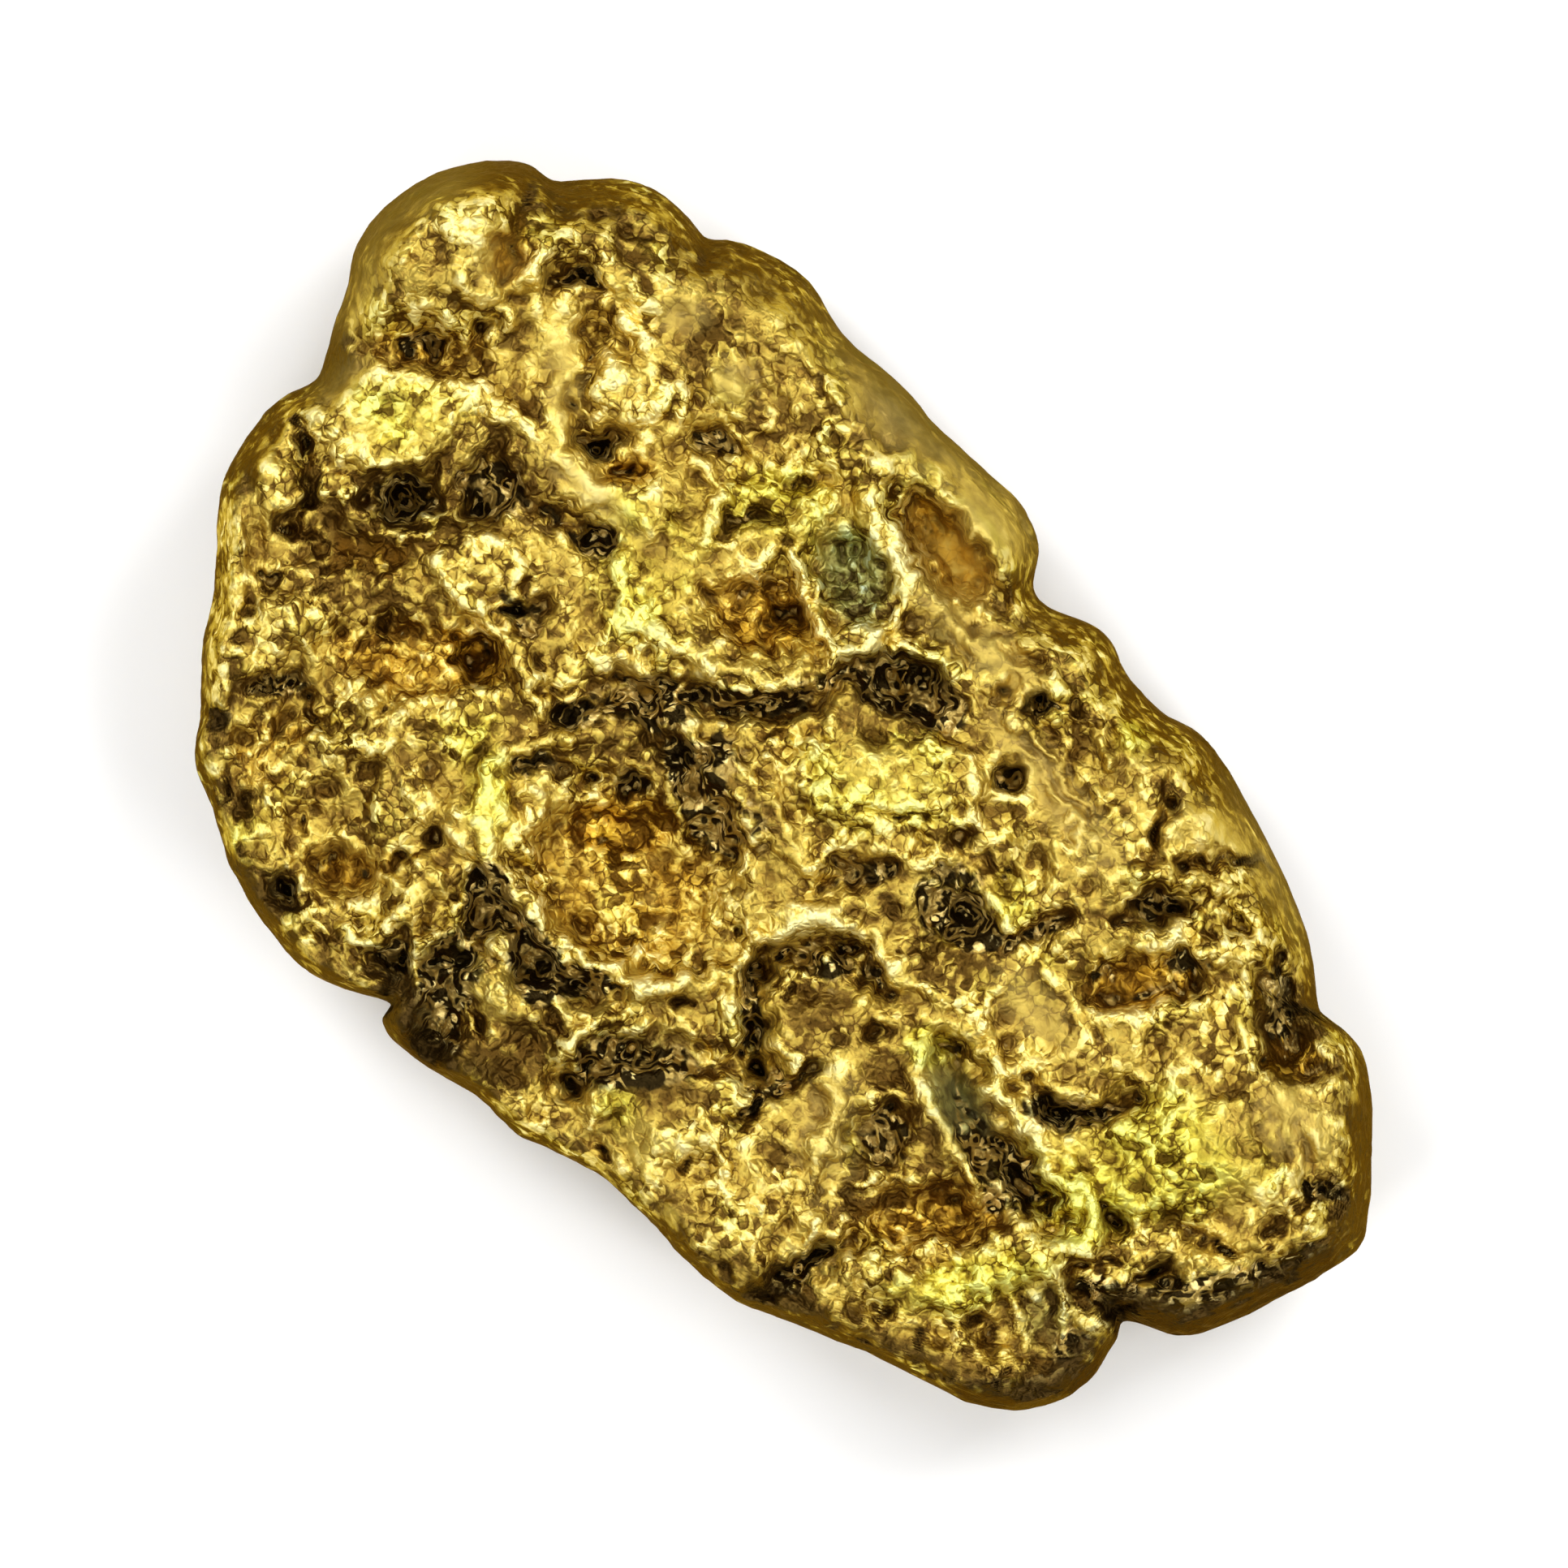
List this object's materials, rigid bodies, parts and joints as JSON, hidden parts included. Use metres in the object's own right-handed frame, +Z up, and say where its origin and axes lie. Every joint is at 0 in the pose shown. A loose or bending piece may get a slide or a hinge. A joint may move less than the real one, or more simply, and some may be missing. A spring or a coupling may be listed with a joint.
{
  "type": "gold nugget",
  "caption": "Water-worn native gold nugget with a crinkled, pitted top, rounded sides and a flatter underside to lie on.",
  "frame": {"origin": "on the resting plane, under the middle of the nugget's bounding box", "axes": "+X along the nugget's long axis towards its notched end, +Y towards its smooth side, +Z up from the surface it lies on"},
  "size_m": [0.0176, 0.0104, 0.0041],
  "materials": {
    "native_gold": "natural, part bright and part matte, with brown and near-black patina in the hollows"
  },
  "bodies": {
    "root": {"nugget": "native_gold"}
  },
  "joints": []
}
